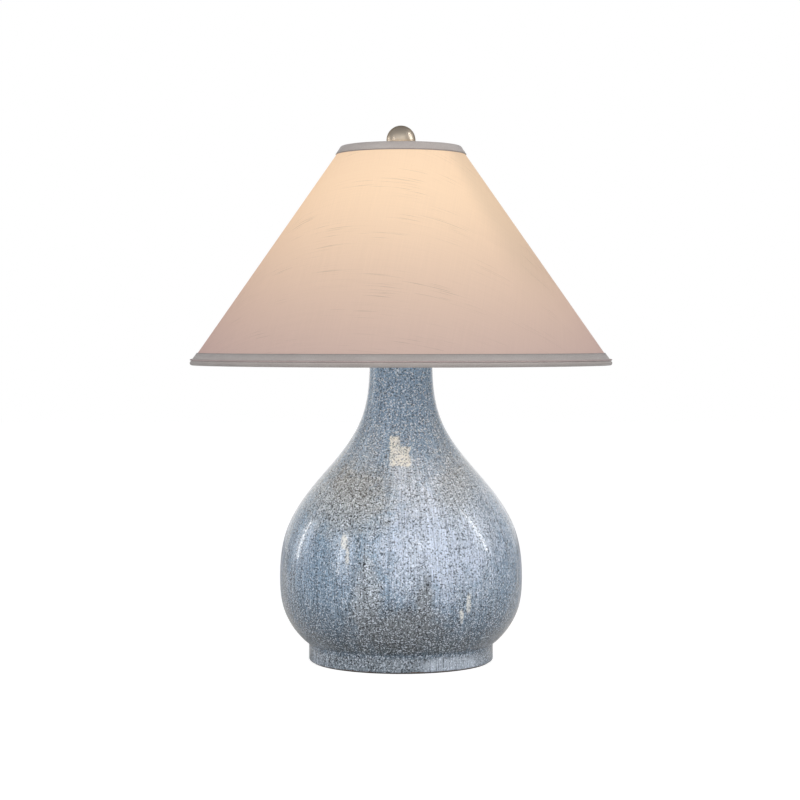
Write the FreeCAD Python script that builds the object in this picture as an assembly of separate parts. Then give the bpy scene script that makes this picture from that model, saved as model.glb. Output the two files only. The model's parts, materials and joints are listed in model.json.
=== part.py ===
import FreeCAD, Part
import math
import os

# Table lamp: a pear-shaped glazed ceramic body, a harp and a coolie shade.
# Millimetres, +Z up. The origin is on the table, under the middle of the foot.
# The front of the lamp faces -Y, and the harp stands in the XZ plane.

# Clearances
seat_gap = 0.2  # between two pieces that lie on each other and can part
glue_gap = 0.1  # between two layers that are glued
fold_gap = 0.4  # between fabric and what it is folded over
thread_gap = 0.07  # radial, between a screw and its hole
running_gap = 0.06  # radial, between a turning piece and its bearing
loose_gap = 0.4  # radial, round a piece that passes through a plain hole

# Felt ring under the foot
pad_thickness = 1.2
pad_width = 8.0
pad_inset = 3.5

# Ceramic body, outside: each station is a radius and a rise above the last one.
# The lowest station stands out past the foot by its overhang.
foot_radius = 108.3
foot_height = 19.8
foot_edge_fillet = 2.5
crease_fillet = 1.5
low_belly_overhang = 18.0
low_belly_rise = 18.5
mid_belly_radius = 137.9
mid_belly_rise = 22.5
belly_radius = 142.5
belly_rise = 36.0
high_belly_radius = 135.3
high_belly_rise = 54.0
shoulder_radius = 112.7
shoulder_rise = 42.0
shoulder_foot_radius = 66.7
shoulder_foot_rise = 56.0
neck_base_radius = 46.3
neck_base_rise = 36.0
neck_radius = 37.3
neck_rise = 49.0
lip_radius = 37.2
lip_rise = 27.0
lip_fillet = 1.5

# Ceramic body, inside
wall = 7.0
floor_thickness = 8.0
foot_wall = 12.0
recess_fillet = 1.5

# Cord hole at the back of the foot, with its rubber bushing
cord_bore_radius = 3.3
cord_hole_height = 8.2
bushing_wall = 2.2
bushing_flange_width = 1.8
bushing_flange_thickness = 1.6

# Threaded rod that holds the stack together
rod_radius = 4.9
rod_bore_radius = 3.3
rod_tail = 2.0

# Fixing under the floor
gasket_radius = 17.0
gasket_thickness = 2.0
washer_radius = 16.0
washer_thickness = 1.6
lock_washer_radius = 8.4
lock_washer_thickness = 1.0
nut_across_flats = 14.3
nut_thickness = 4.0

# Neck cap, spindle and harp saddle
cap_radius = 34.6
cap_sheet = 1.2
cap_rim_width = 5.6
cap_slope_width = 2.8
cap_rise = 3.8
spindle_height = 13.0
spindle_end_radius = 9.0
spindle_waist_radius = 6.8
spindle_collar_height = 2.6
saddle_sheet = 1.6
saddle_width = 12.0
saddle_bend_radius = 2.6
harp_leg_spacing = 63.5
ear_height = 11.4
ear_width = 4.6

# Harp
harp_wire_radius = 1.8
harp_height = 203.2
harp_half_width = 52.0
harp_widest_height = 110.0
harp_leg_straight = 20.0
harp_leg_bend = 56.0
harp_top_bend = 30.0
harp_collar_radius = 5.5
harp_collar_height = 8.4
harp_collar_below_wire = 3.4

# Ferrules that lock the harp to the saddle
ferrule_length = 14.0
ferrule_overlap = 7.0
ferrule_wall = 0.9
ferrule_roof = 2.6
ferrule_lip = 1.0

# Swivel on top of the harp, with the stud that the finial screws on
swivel_spigot_radius = 2.5
swivel_spigot_length = 2.8
swivel_seat_radius = 6.5
swivel_seat_height = 3.0
stud_radius = 3.175
stud_engaged = 9.0

# Socket
socket_cap_hub_radius = 7.6
socket_cap_hub_height = 8.0
socket_cap_flare_height = 5.0
socket_cap_skirt_height = 6.0
socket_cap_sheet = 0.7
socket_shell_radius = 15.5
socket_shell_sheet = 0.6
socket_shell_height = 50.0
socket_shell_bead = 0.9
socket_sleeve_sheet = 0.5
socket_sleeve_short = 2.0
socket_core_height = 20.0
socket_wire_way_depth = 6.0
socket_thread_sheet = 0.4
socket_thread_height = 23.0
socket_tab_width = 6.0
socket_tab_thickness = 0.6
socket_tab_rise = 2.2
terminal_head_radius = 2.6
terminal_head_depth = 1.8
terminal_shank_radius = 1.4
terminal_shank_length = 4.0
terminal_height = 6.0
set_screw_radius = 1.5
set_screw_length = 3.6

# Turn switch at the front of the socket
switch_shaft_radius = 1.6
switch_shaft_buried = 9.0
switch_height = 11.0
switch_reach = 7.0
knob_radius = 6.4
knob_tip_radius = 5.4
knob_length = 13.0
knob_bore_depth = 8.0
knob_flutes = 10
knob_flute_radius = 1.1
knob_end_fillet = 1.0

# Bulb with a standard screw base
bulb_thread_radius = 13.15
bulb_base_height = 22.5
bulb_insulator_height = 3.0
bulb_insulator_step = 2.0
bulb_contact_radius = 4.8
bulb_contact_height = 1.4
bulb_neck_radius = 13.6
bulb_housing_height = 50.0
bulb_housing_swell = 1.5
bulb_globe_radius = 30.0
bulb_globe_wall = 1.2
bulb_board_thickness = 1.6
bulb_board_drop = 1.0
bulb_board_radius = 27.0
bulb_board_ledge = 2.0

# Shade: the cone is the outer face of its fabric, between the levels of its two wires
shade_bottom_radius = 245.8
shade_top_radius = 70.1
shade_height = 251.2
shade_fabric = 0.5
shade_liner_thickness = 0.5
shade_wire_radius = 1.4
shade_wire_inset = 1.1
shade_seam_width = 12.0
shade_seam_thickness = 0.3
trim_thickness = 0.9
bottom_trim_height = 15.5
top_trim_height = 12.5
trim_inside_height = 8.0
piping_radius = 0.8
piping_drop = 5.2

# Spider that carries the shade on the swivel
spider_hub_radius = 11.0
spider_hub_thickness = 3.2
spider_wire_radius = 1.4
spider_drop = 16.7
spider_arms = 3
spider_flat_length = 9.0
spider_bend_radius = 10.0
spider_arm_turn = 30.0

# Finial
finial_ball_radius = 17.0
finial_ball_height = 24.85
finial_flange_radius = 6.2
finial_flange_height = 1.6
finial_neck_radius = 4.5
finial_neck_buried = 5.0
finial_bore_spare = 1.0


def vec(x, y, z):
    return FreeCAD.Vector(x, y, z)


axis_z = vec(0, 0, 1)
origin = vec(0, 0, 0)


def line(a, b):
    return Part.LineSegment(a, b).toShape()


def arc(a, middle, b):
    return Part.Arc(a, middle, b).toShape()


def turned(edges):
    """A solid turned about the Z axis from a closed outline in the XZ plane."""
    outline = Part.Face(Part.Wire(edges))
    return outline.revolve(origin, axis_z, 360)


def polygon(points):
    """The edges of a closed outline through (radius, height) points."""
    corners = [vec(r, 0, z) for r, z in points]
    return [line(a, b) for a, b in zip(corners, corners[1:] + corners[:1])]


def turned_points(points):
    return turned(polygon(points))


def tube(inner, outer, bottom, top):
    return turned_points([(inner, bottom), (outer, bottom), (outer, top), (inner, top)])


def rod(radius, start, direction, length):
    return Part.makeCylinder(radius, length, start, direction)


def wire_along(path, radius, start, direction):
    """Round wire of the given radius along a smooth path."""
    section = Part.Wire(Part.makeCircle(radius, start, direction))
    return Part.Wire(path).makePipeShell([section], True, True)


def around_z(shape, degrees):
    copy = shape.copy()
    copy.rotate(origin, axis_z, degrees)
    return copy


def mirrored_x(shape):
    return shape.mirror(origin, vec(1, 0, 0))


def single(shape):
    return shape.Solids[0] if len(shape.Solids) == 1 else Part.makeCompound(shape.Solids)


def save(node, shape):
    single(shape).exportStep("parts/" + node + ".step")


os.makedirs("parts", exist_ok=True)

# Heights up the lamp, each from the piece below it
foot_z = pad_thickness
crease_z = foot_z + foot_height


def body_stations():
    """Outside of the ceramic body above the crease, as (radius, height) points."""
    steps = [
        (foot_radius + low_belly_overhang, low_belly_rise),
        (mid_belly_radius, mid_belly_rise),
        (belly_radius, belly_rise),
        (high_belly_radius, high_belly_rise),
        (shoulder_radius, shoulder_rise),
        (shoulder_foot_radius, shoulder_foot_rise),
        (neck_base_radius, neck_base_rise),
        (neck_radius, neck_rise),
        (lip_radius, lip_rise),
    ]
    stations = [(foot_radius, crease_z)]
    for radius, rise in steps:
        stations.append((radius, stations[-1][1] + rise))
    return stations


stations = body_stations()
lip_z = stations[-1][1]
outer_curve = Part.BSplineCurve()
outer_curve.interpolate([vec(r, 0, z) for r, z in stations])


def inner_points():
    """The outside stations moved into the clay by the wall, square to the curve."""
    points = []
    for radius, height in stations:
        at = outer_curve.parameter(vec(radius, 0, height))
        along = outer_curve.tangent(at)[0]
        inward = vec(-along.z, 0, along.x)
        points.append(vec(radius, 0, height) + inward * wall)
    points[-1] = vec(lip_radius - wall, 0, lip_z)
    return points


inner_outline = inner_points()
floor_top_z = inner_outline[0].z
recess_z = floor_top_z - floor_thickness
cap_seat_z = lip_z
spindle_z = cap_seat_z + cap_rise + cap_sheet
saddle_z = spindle_z + spindle_height
saddle_top_z = saddle_z + saddle_sheet
ear_top_z = saddle_top_z + ear_height
rod_hole_radius = rod_radius + loose_gap
screw_hole_radius = rod_radius + thread_gap


def make_felt_ring():
    outer = foot_radius - pad_inset
    return tube(outer - pad_width, outer, 0, pad_thickness)


bushing_radius = cord_bore_radius + bushing_wall
cord_hole_z = foot_z + cord_hole_height


def make_ceramic_body():
    inner_curve = Part.BSplineCurve()
    inner_curve.interpolate(inner_outline)
    recess_radius = foot_radius - foot_wall
    outline = [
        outer_curve.toShape(),
        line(vec(lip_radius, 0, lip_z), inner_outline[-1]),
        inner_curve.toShape(),
        line(inner_outline[0], vec(rod_hole_radius, 0, floor_top_z)),
        line(vec(rod_hole_radius, 0, floor_top_z), vec(rod_hole_radius, 0, recess_z)),
        line(vec(rod_hole_radius, 0, recess_z), vec(recess_radius, 0, recess_z)),
        line(vec(recess_radius, 0, recess_z), vec(recess_radius, 0, foot_z)),
        line(vec(recess_radius, 0, foot_z), vec(foot_radius, 0, foot_z)),
        line(vec(foot_radius, 0, foot_z), vec(foot_radius, 0, crease_z)),
    ]
    body = turned(outline)

    def circle_edges(radius, height):
        found = []
        for edge in body.Edges:
            box = edge.BoundBox
            flat = abs(box.ZMax - height) < 0.01 and abs(box.ZMin - height) < 0.01
            if flat and abs(box.XMax - radius) < 0.01:
                found.append(edge)
        return found

    body = body.makeFillet(lip_fillet, circle_edges(lip_radius, lip_z))
    body = body.makeFillet(foot_edge_fillet, circle_edges(foot_radius, foot_z))
    body = body.makeFillet(crease_fillet, circle_edges(foot_radius, crease_z))
    body = body.makeFillet(recess_fillet, circle_edges(recess_radius, recess_z))
    hole_start = vec(0, recess_radius - foot_wall, cord_hole_z)
    return body.cut(rod(bushing_radius, hole_start, vec(0, 1, 0), 3 * foot_wall))


def make_cord_bushing():
    """Rubber bushing through the foot wall, flanged on both sides."""
    flange_radius = bushing_radius + bushing_flange_width
    face = foot_radius + glue_gap
    inner_radius = foot_radius - foot_wall
    inner_face = inner_radius * math.cos(math.asin(flange_radius / inner_radius)) - glue_gap
    back = vec(0, 1, 0)
    outer_flange = rod(flange_radius, vec(0, face, cord_hole_z), back, bushing_flange_thickness)
    inner_flange = rod(
        flange_radius,
        vec(0, inner_face - bushing_flange_thickness, cord_hole_z),
        back,
        bushing_flange_thickness,
    )
    start = vec(0, inner_face - bushing_flange_thickness, cord_hole_z)
    length = face + bushing_flange_thickness - start.y
    barrel = rod(bushing_radius - glue_gap, start, back, length)
    bore = rod(cord_bore_radius, start - back, back, length + 2)
    return barrel.fuse(outer_flange).fuse(inner_flange).cut(bore).removeSplitter()


save("felt_foot_ring", make_felt_ring())
save("ceramic_body", make_ceramic_body())
save("cord_bushing", make_cord_bushing())

# Fixing stack under the floor, from the floor down
gasket_z = recess_z - gasket_thickness
washer_z = gasket_z - washer_thickness
lock_washer_z = washer_z - lock_washer_thickness
nut_z = lock_washer_z - nut_thickness
rod_bottom_z = nut_z - rod_tail


def make_hex_nut():
    corner = nut_across_flats / math.sqrt(3)
    corners = [
        vec(corner * math.cos(math.radians(60 * i)), corner * math.sin(math.radians(60 * i)), nut_z)
        for i in range(6)
    ]
    sides = [line(a, b) for a, b in zip(corners, corners[1:] + corners[:1])]
    block = Part.Face(Part.Wire(sides)).extrude(vec(0, 0, nut_thickness))
    crown = Part.makeCone(
        corner + nut_thickness,
        nut_across_flats / 2,
        nut_thickness + corner - nut_across_flats / 2,
        vec(0, 0, lock_washer_z),
        vec(0, 0, -1),
    )
    hole = rod(screw_hole_radius, vec(0, 0, nut_z - 1), axis_z, nut_thickness + 2)
    return block.common(crown).cut(hole)


save("rubber_gasket", tube(rod_hole_radius, gasket_radius, gasket_z, recess_z))
save("bottom_washer", tube(rod_hole_radius, washer_radius, washer_z, gasket_z))
save("lock_washer", tube(rod_hole_radius, lock_washer_radius, lock_washer_z, washer_z))
save("bottom_nut", make_hex_nut())


def make_neck_cap():
    """Spun metal cap that closes the neck: a flat rim, a slope and a raised top."""
    rim = cap_radius - cap_rim_width
    top = rim - cap_slope_width
    low = cap_seat_z
    high = cap_seat_z + cap_rise
    return turned_points(
        [
            (rim - cap_sheet / 2, low),
            (cap_radius, low),
            (cap_radius, low + cap_sheet),
            (rim, low + cap_sheet),
            (top, high + cap_sheet),
            (rod_hole_radius, high + cap_sheet),
            (rod_hole_radius, high),
            (top - cap_sheet / 2, high),
        ]
    )


def make_neck_spindle():
    """Turned spacer with a waist between two collars."""
    low = spindle_z + spindle_collar_height
    high = saddle_z - spindle_collar_height
    outline = [
        line(vec(rod_hole_radius, 0, spindle_z), vec(spindle_end_radius, 0, spindle_z)),
        line(vec(spindle_end_radius, 0, spindle_z), vec(spindle_end_radius, 0, low)),
        arc(
            vec(spindle_end_radius, 0, low),
            vec(spindle_waist_radius, 0, (low + high) / 2),
            vec(spindle_end_radius, 0, high),
        ),
        line(vec(spindle_end_radius, 0, high), vec(spindle_end_radius, 0, saddle_z)),
        line(vec(spindle_end_radius, 0, saddle_z), vec(rod_hole_radius, 0, saddle_z)),
        line(vec(rod_hole_radius, 0, saddle_z), vec(rod_hole_radius, 0, spindle_z)),
    ]
    return turned(outline)


leg_x = harp_leg_spacing / 2


def make_harp_saddle():
    """Strip with its two ends bent up into ears, narrower than the strip."""
    inside = leg_x - saddle_sheet / 2
    outside = leg_x + saddle_sheet / 2
    bend = saddle_bend_radius
    low = saddle_z
    top = saddle_top_z
    turn = math.sqrt(0.5)

    def half(sign):
        centre_x = inside - bend
        centre_z = top + bend
        return [
            line(vec(0, 0, top), vec(sign * centre_x, 0, top)),
            arc(
                vec(sign * centre_x, 0, top),
                vec(sign * (centre_x + bend * turn), 0, centre_z - bend * turn),
                vec(sign * inside, 0, centre_z),
            ),
            line(vec(sign * inside, 0, centre_z), vec(sign * inside, 0, ear_top_z)),
            line(vec(sign * inside, 0, ear_top_z), vec(sign * outside, 0, ear_top_z)),
            line(vec(sign * outside, 0, ear_top_z), vec(sign * outside, 0, centre_z)),
            arc(
                vec(sign * outside, 0, centre_z),
                vec(
                    sign * (centre_x + (bend + saddle_sheet) * turn),
                    0,
                    centre_z - (bend + saddle_sheet) * turn,
                ),
                vec(sign * centre_x, 0, low),
            ),
            line(vec(sign * centre_x, 0, low), vec(0, 0, low)),
        ]

    edges = half(1) + half(-1)
    strip = Part.Face(Part.Wire(Part.sortEdges(edges)[0])).extrude(vec(0, saddle_width, 0))
    strip.translate(vec(0, -saddle_width / 2, 0))
    side = (saddle_width - ear_width) / 2
    ear_start_z = top + bend
    for start_y in (-saddle_width / 2, ear_width / 2):
        for start_x in (-outside - 1, inside - 1):
            notch = Part.makeBox(
                saddle_sheet + 2, side, ear_height, vec(start_x, start_y, ear_start_z)
            )
            strip = strip.cut(notch)
    return strip.cut(rod(rod_hole_radius, vec(0, 0, low - 1), axis_z, saddle_sheet + 2))


save("neck_cap", make_neck_cap())
save("neck_spindle", make_neck_spindle())
save("harp_saddle", make_harp_saddle())

# Harp: legs stand on the ears, swell to the widest point and meet over the bulb
leg_z = ear_top_z + seat_gap
leg_straight_z = leg_z + harp_leg_straight
widest_z = saddle_z + harp_widest_height
swivel_top_z = saddle_z + harp_height
collar_top_z = swivel_top_z - swivel_seat_height - seat_gap
collar_z = collar_top_z - harp_collar_height
harp_top_z = collar_z + harp_collar_below_wire


def harp_half_path():
    """Right half of the harp's centre line, from its foot to the middle of the top."""
    spread = harp_half_width - leg_x
    lift = widest_z - leg_straight_z
    swing = 2 * math.atan2(spread, lift)
    upper_bend = lift / math.sin(swing) - harp_leg_bend
    bend_end = vec(
        leg_x + harp_leg_bend * (1 - math.cos(swing)),
        0,
        leg_straight_z + harp_leg_bend * math.sin(swing),
    )
    bend_middle = vec(
        leg_x + harp_leg_bend * (1 - math.cos(swing / 2)),
        0,
        leg_straight_z + harp_leg_bend * math.sin(swing / 2),
    )
    widest = vec(harp_half_width, 0, widest_z)
    back_middle = vec(
        harp_half_width - upper_bend * (1 - math.cos(swing / 2)),
        0,
        widest_z - upper_bend * math.sin(swing / 2),
    )
    rise = harp_top_z - widest_z
    side_bend = (harp_half_width**2 + (rise - harp_top_bend) ** 2 - harp_top_bend**2) / (
        2 * (harp_half_width - harp_top_bend)
    )
    side_centre = vec(harp_half_width - side_bend, 0, widest_z)
    top_centre = vec(0, 0, harp_top_z - harp_top_bend)
    sweep = math.atan2(top_centre.z - side_centre.z, top_centre.x - side_centre.x)

    def on_circle(centre, radius, angle):
        return centre + vec(radius * math.cos(angle), 0, radius * math.sin(angle))

    shoulder = on_circle(side_centre, side_bend, sweep)
    side_middle = on_circle(side_centre, side_bend, sweep / 2)
    top_middle = on_circle(top_centre, harp_top_bend, (sweep + math.pi / 2) / 2)
    return [
        line(vec(leg_x, 0, leg_z), vec(leg_x, 0, leg_straight_z)),
        arc(vec(leg_x, 0, leg_straight_z), bend_middle, bend_end),
        arc(bend_end, back_middle, widest),
        arc(widest, side_middle, shoulder),
        arc(shoulder, top_middle, vec(0, 0, harp_top_z)),
    ]


def make_harp():
    """Bent wire with the turned collar brazed to the middle of its top."""
    right = wire_along(harp_half_path(), harp_wire_radius, vec(leg_x, 0, leg_z), axis_z)
    collar = rod(harp_collar_radius, vec(0, 0, collar_z), axis_z, harp_collar_height)
    spigot_hole = rod(
        swivel_spigot_radius + running_gap,
        vec(0, 0, collar_top_z - swivel_spigot_length - seat_gap),
        axis_z,
        swivel_spigot_length + 1,
    )
    return collar.fuse([right, mirrored_x(right)]).cut(spigot_hole).removeSplitter()


def make_ferrule():
    """Sleeve that slides on the harp's leg and drops over the ear below it."""
    ear_reach = math.hypot(ear_width / 2, saddle_sheet / 2)
    inner = max(ear_reach, harp_wire_radius) + loose_gap
    outer = inner + ferrule_wall
    neck = harp_wire_radius + loose_gap
    low = ear_top_z - ferrule_overlap
    top = low + ferrule_length
    shoulder = top - ferrule_roof
    sleeve = turned_points(
        [
            (inner, low),
            (outer + ferrule_lip, low),
            (outer + ferrule_lip, low + ferrule_lip),
            (outer, low + 2 * ferrule_lip),
            (outer, shoulder),
            (neck + ferrule_wall, top),
            (neck, top),
            (neck, shoulder),
            (inner, shoulder - (inner - neck)),
        ]
    )
    sleeve.translate(vec(leg_x, 0, 0))
    return sleeve


save("harp_wire", make_harp())
save("ferrule_right", make_ferrule())
save("ferrule_left", mirrored_x(make_ferrule()))

# Spider hub, finial and swivel: what stands on the harp
hub_z = swivel_top_z + seat_gap
hub_top_z = hub_z + spider_hub_thickness
finial_z = hub_top_z + seat_gap
stud_top_z = finial_z + stud_engaged
ball_z = finial_z + finial_ball_height


def make_swivel():
    """Swivel seat with the spigot that turns in the harp's collar and the finial's stud."""
    low = collar_top_z - swivel_spigot_length
    seat = swivel_top_z - swivel_seat_height
    chamfer = stud_radius / 4
    return turned_points(
        [
            (0, low),
            (swivel_spigot_radius, low),
            (swivel_spigot_radius, seat),
            (swivel_seat_radius, seat),
            (swivel_seat_radius, swivel_top_z),
            (stud_radius, swivel_top_z),
            (stud_radius, stud_top_z - chamfer),
            (stud_radius - chamfer, stud_top_z),
            (0, stud_top_z),
        ]
    )


def make_finial_insert():
    """Threaded brass insert: its flange clamps the spider, its neck enters the ball."""
    bore = stud_radius + thread_gap
    neck_top = ball_bottom_z + finial_neck_buried
    flange_top = finial_z + finial_flange_height
    return turned_points(
        [
            (bore, finial_z),
            (finial_flange_radius, finial_z),
            (finial_flange_radius, flange_top),
            (finial_neck_radius, flange_top + finial_flange_radius - finial_neck_radius),
            (finial_neck_radius, neck_top),
            (0, neck_top),
            (0, stud_top_z + finial_bore_spare),
            (bore, stud_top_z + finial_bore_spare),
        ]
    )


ball_bore_radius = finial_neck_radius + running_gap
ball_bottom_z = ball_z - math.sqrt(finial_ball_radius**2 - ball_bore_radius**2)


def make_finial_ball():
    side = vec(finial_ball_radius, 0, ball_z)
    top = vec(0, 0, ball_z + finial_ball_radius)
    bore_top = ball_bottom_z + finial_neck_buried + seat_gap
    mouth = vec(ball_bore_radius, 0, ball_bottom_z)
    outline = [
        arc(mouth, side, top),
        line(top, vec(0, 0, bore_top)),
        line(vec(0, 0, bore_top), vec(ball_bore_radius, 0, bore_top)),
        line(vec(ball_bore_radius, 0, bore_top), mouth),
    ]
    return turned(outline)


save("harp_swivel", make_swivel())
save("finial_insert", make_finial_insert())
save("finial_ball", make_finial_ball())

# Socket, from its cap up
socket_z = saddle_top_z
skirt_z = socket_z + socket_cap_hub_height + socket_cap_flare_height
shell_inner = socket_shell_radius - socket_shell_sheet
sleeve_outer = shell_inner - glue_gap
sleeve_inner = sleeve_outer - socket_sleeve_sheet
core_radius = sleeve_inner - glue_gap
shell_top_z = skirt_z + socket_shell_height
core_z = skirt_z + glue_gap
core_top_z = core_z + socket_core_height
switch_z = core_z + switch_height
front = vec(0, -1, 0)


def make_socket_cap():
    """Cup whose hub screws on the rod and whose skirt takes the shell."""
    skirt = socket_shell_radius + glue_gap
    outer = skirt + socket_cap_sheet
    hub_top = socket_z + socket_cap_hub_height
    inner_floor = hub_top + socket_cap_sheet
    cup = turned_points(
        [
            (screw_hole_radius, socket_z),
            (socket_cap_hub_radius, socket_z),
            (socket_cap_hub_radius, hub_top),
            (outer, skirt_z),
            (outer, skirt_z + socket_cap_skirt_height),
            (skirt, skirt_z + socket_cap_skirt_height),
            (skirt, skirt_z),
            (socket_cap_hub_radius, inner_floor),
            (screw_hole_radius, inner_floor),
        ]
    )
    return cup.cut(set_screw_hole())


def set_screw_hole():
    start = vec(0, 0, socket_z + socket_cap_hub_height / 2)
    return rod(set_screw_radius + thread_gap, start, vec(0, 1, 0), socket_cap_hub_radius + 1)


def make_set_screw():
    start = vec(0, rod_radius + glue_gap, socket_z + socket_cap_hub_height / 2)
    screw = rod(set_screw_radius, start, vec(0, 1, 0), set_screw_length)
    slot_depth = set_screw_radius / 2
    slot = Part.makeBox(
        4 * set_screw_radius,
        slot_depth,
        set_screw_radius / 2,
        vec(
            -2 * set_screw_radius,
            start.y + set_screw_length - slot_depth,
            start.z - set_screw_radius / 4,
        ),
    )
    return screw.cut(slot)


def make_rod():
    top = socket_z + socket_cap_hub_height
    return tube(rod_bore_radius, rod_radius, rod_bottom_z, top)


def switch_window():
    """Hole for the switch's shaft through the front of the shell and its sleeve."""
    start = vec(0, -core_radius / 2, switch_z)
    return rod(switch_shaft_radius + 2 * loose_gap, start, front, socket_shell_radius)


def make_socket_shell():
    """Thin shell with a rolled bead round its mouth."""
    bead_inner = socket_shell_radius + socket_shell_bead
    outline = turned_points(
        [
            (shell_inner, skirt_z + seat_gap),
            (socket_shell_radius, skirt_z + seat_gap),
            (socket_shell_radius, shell_top_z - 2 * socket_shell_bead),
            (bead_inner, shell_top_z - 1.5 * socket_shell_bead),
            (bead_inner, shell_top_z - socket_shell_bead / 2),
            (socket_shell_radius, shell_top_z),
            (shell_inner, shell_top_z),
        ]
    )
    return outline.cut(switch_window())


def make_socket_sleeve():
    sleeve = tube(
        sleeve_inner, sleeve_outer, skirt_z + seat_gap, shell_top_z - socket_sleeve_short
    )
    return sleeve.cut(switch_window())


def make_socket_core():
    """Moulded block that holds the contacts, flattened where the terminals sit."""
    block = rod(core_radius, vec(0, 0, core_z), axis_z, socket_core_height)
    flat_x = core_radius - terminal_head_depth - seat_gap
    height = 2 * (terminal_height - terminal_head_radius / 4)
    for sign in (-1, 1):
        pocket = Part.makeBox(
            core_radius,
            4 * terminal_head_radius,
            height,
            vec(flat_x if sign > 0 else -flat_x - core_radius, -2 * terminal_head_radius, core_z),
        )
        block = block.cut(pocket)
        start = vec(sign * (flat_x - terminal_shank_length - seat_gap), 0, core_z + terminal_height)
        reach = terminal_shank_length + 1
        block = block.cut(
            rod(terminal_shank_radius + thread_gap, start, vec(sign, 0, 0), reach)
        )
    shaft_hole = rod(
        switch_shaft_radius + running_gap,
        vec(0, -core_radius + switch_shaft_buried + seat_gap, switch_z),
        front,
        core_radius,
    )
    wire_way = rod(rod_bore_radius, vec(0, 0, core_z), axis_z, socket_wire_way_depth)
    return block.cut(shaft_hole).cut(wire_way)


def make_terminal_screws():
    flat_x = core_radius - terminal_head_depth - seat_gap
    screws = []
    for sign in (-1, 1):
        out = vec(sign, 0, 0)
        height = core_z + terminal_height
        shank = rod(
            terminal_shank_radius,
            vec(sign * (flat_x - terminal_shank_length), 0, height),
            out,
            terminal_shank_length,
        )
        head = rod(terminal_head_radius, vec(sign * flat_x, 0, height), out, terminal_head_depth)
        screws.append(shank.fuse(head).removeSplitter())
    return Part.makeCompound([s.Solids[0] for s in screws])


thread_outer = core_radius
thread_inner = thread_outer - socket_thread_sheet


def make_socket_thread():
    """Metal screw shell, with a turned-in floor on the block."""
    floor = core_top_z + socket_thread_sheet
    top = core_top_z + socket_thread_height
    lip = thread_inner - 3 * socket_thread_sheet
    return turned_points(
        [
            (lip, core_top_z),
            (thread_outer, core_top_z),
            (thread_outer, top),
            (thread_inner, top),
            (thread_inner, floor),
            (lip, floor),
        ]
    )


contact_z = core_top_z + socket_tab_rise + socket_tab_thickness


def make_centre_contact():
    """Sprung tab in the floor of the socket: a foot on the block and a raised tongue."""
    half = socket_tab_width / 2
    low = core_top_z
    sheet = socket_tab_thickness
    reach = bulb_contact_radius + half
    side = [
        vec(-half, reach, low),
        vec(-half, reach / 3, low),
        vec(-half, -half, contact_z - sheet),
        vec(-half, -half, contact_z),
        vec(-half, half / 2, contact_z),
        vec(-half, reach / 2, low + sheet),
        vec(-half, reach, low + sheet),
    ]
    edges = [line(a, b) for a, b in zip(side, side[1:] + side[:1])]
    return Part.Face(Part.Wire(edges)).extrude(vec(socket_tab_width, 0, 0))


save("threaded_rod", make_rod())
save("socket_cap", make_socket_cap())
save("set_screw", make_set_screw())
save("socket_shell", make_socket_shell())
save("socket_sleeve", make_socket_sleeve())
save("socket_core", make_socket_core())
save("terminal_screws", make_terminal_screws())
save("socket_thread", make_socket_thread())
save("centre_contact", make_centre_contact())

# Turn switch
knob_start = socket_shell_radius + switch_reach
shaft_tip = knob_start + knob_bore_depth


def make_switch_shaft():
    start = vec(0, -core_radius + switch_shaft_buried, switch_z)
    return rod(switch_shaft_radius, start, front, shaft_tip + start.y)


def make_switch_knob():
    """Tapered knob with flutes round its side, pressed on the shaft."""
    start = vec(0, -knob_start, switch_z)
    body = Part.makeCone(knob_radius, knob_tip_radius, knob_length, start, front)
    rims = [e for e in body.Edges if e.BoundBox.YMax < start.y - knob_length + 0.01]
    body = body.makeFillet(knob_end_fillet, rims)
    lean = math.atan2(knob_radius - knob_tip_radius, knob_length)
    for i in range(knob_flutes):
        turn = 360 * (i + 0.5) / knob_flutes
        flute = Part.makeCylinder(knob_flute_radius, 2 * knob_length, vec(0, 0, 0), front)
        flute.translate(vec(0, knob_length / 2, 0))
        flute.rotate(origin, vec(1, 0, 0), math.degrees(lean))
        middle = (knob_radius + knob_tip_radius) / 2 + knob_flute_radius / 3
        flute.translate(vec(0, -knob_length / 2, middle))
        flute.rotate(origin, vec(0, 1, 0), turn)
        flute.translate(vec(0, -knob_start, switch_z))
        body = body.cut(flute)
    bore = rod(switch_shaft_radius + running_gap / 2, start, front, knob_bore_depth + seat_gap)
    return body.cut(bore)


save("switch_shaft", make_switch_shaft())
save("switch_knob", make_switch_knob())

# Bulb, standing on the centre contact
bulb_z = contact_z + seat_gap
insulator_z = bulb_z + bulb_contact_height
base_z = insulator_z + bulb_insulator_height
housing_z = base_z + bulb_base_height
globe_z = housing_z + bulb_housing_height
board_z = globe_z - bulb_board_drop - bulb_board_thickness


def make_bulb_contact():
    return rod(bulb_contact_radius, vec(0, 0, bulb_z), axis_z, bulb_contact_height)


def make_bulb_insulator():
    """Moulded cone between the tip contact and the screw base."""
    return Part.makeCone(
        bulb_contact_radius,
        bulb_thread_radius - bulb_insulator_step,
        bulb_insulator_height,
        vec(0, 0, insulator_z),
    )


def make_bulb_base():
    return rod(bulb_thread_radius, vec(0, 0, base_z), axis_z, bulb_base_height)


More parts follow.
